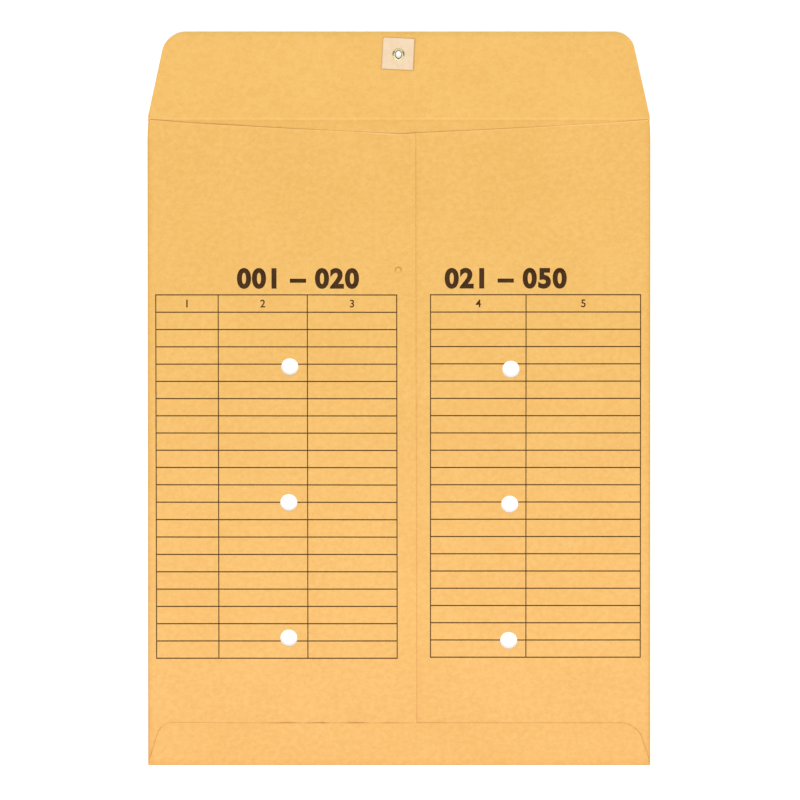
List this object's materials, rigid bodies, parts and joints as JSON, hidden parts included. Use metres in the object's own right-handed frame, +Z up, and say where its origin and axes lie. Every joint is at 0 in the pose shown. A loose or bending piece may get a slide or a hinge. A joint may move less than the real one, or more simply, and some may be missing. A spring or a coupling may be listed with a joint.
{
  "type": "string and button envelope",
  "caption": "Open-end kraft paper envelope lying seam side up, its scored flap folded open, with a V throat, folded bottom, sight holes and riveted fibre buttons.",
  "frame": {"origin": "on the table, under the middle of the outline that the body and the open flap make together", "axes": "+X to the right as the seam side is read, +Y from the bottom fold to the flap's tip, +Z up, out of the seam side"},
  "size_m": [0.254, 0.3746, 0.003],
  "materials": {
    "kraft_paper": "matt golden kraft with fine fibres",
    "paper_glue": "dried glue film",
    "patch_paper": "matt cream card",
    "eyelet_metal": "rolled bright metal",
    "button_fibre": "pressed red-brown fibre"
  },
  "bodies": {
    "pocket": {"front_panel": "kraft_paper", "left_side_fold": "kraft_paper", "right_side_fold": "kraft_paper", "bottom_fold": "kraft_paper", "left_back_panel": "kraft_paper", "right_back_panel": "kraft_paper", "bottom_flap": "kraft_paper", "flap_crease": "kraft_paper", "seam_glue": "paper_glue", "bottom_flap_glue": "paper_glue", "body_patch": "patch_paper", "body_eyelet": "eyelet_metal"},
    "flap": {"closure_flap": "kraft_paper", "flap_patch": "patch_paper", "flap_eyelet": "eyelet_metal"},
    "flap_button_disc": {"flap_button": "button_fibre"},
    "body_button_disc": {"body_button": "button_fibre"}
  },
  "joints": [
    {"name": "flap_fold", "type": "hinge", "parent": "pocket", "child": "flap", "pos_m": [0, 0.14288, 0.0023], "axis": [1, 0, 0], "range_deg": [0, 178], "deforming": ["flap_crease"]},
    {"name": "flap_button_spin", "type": "hinge", "parent": "flap", "child": "flap_button_disc", "pos_m": [-0.0002, 0.17577, 0.00085], "axis": [0, 0, 1], "continuous": true},
    {"name": "body_button_spin", "type": "hinge", "parent": "pocket", "child": "body_button_disc", "pos_m": [-0.0002, 0.06557, 0.00085], "axis": [0, 0, 1], "continuous": true}
  ]
}
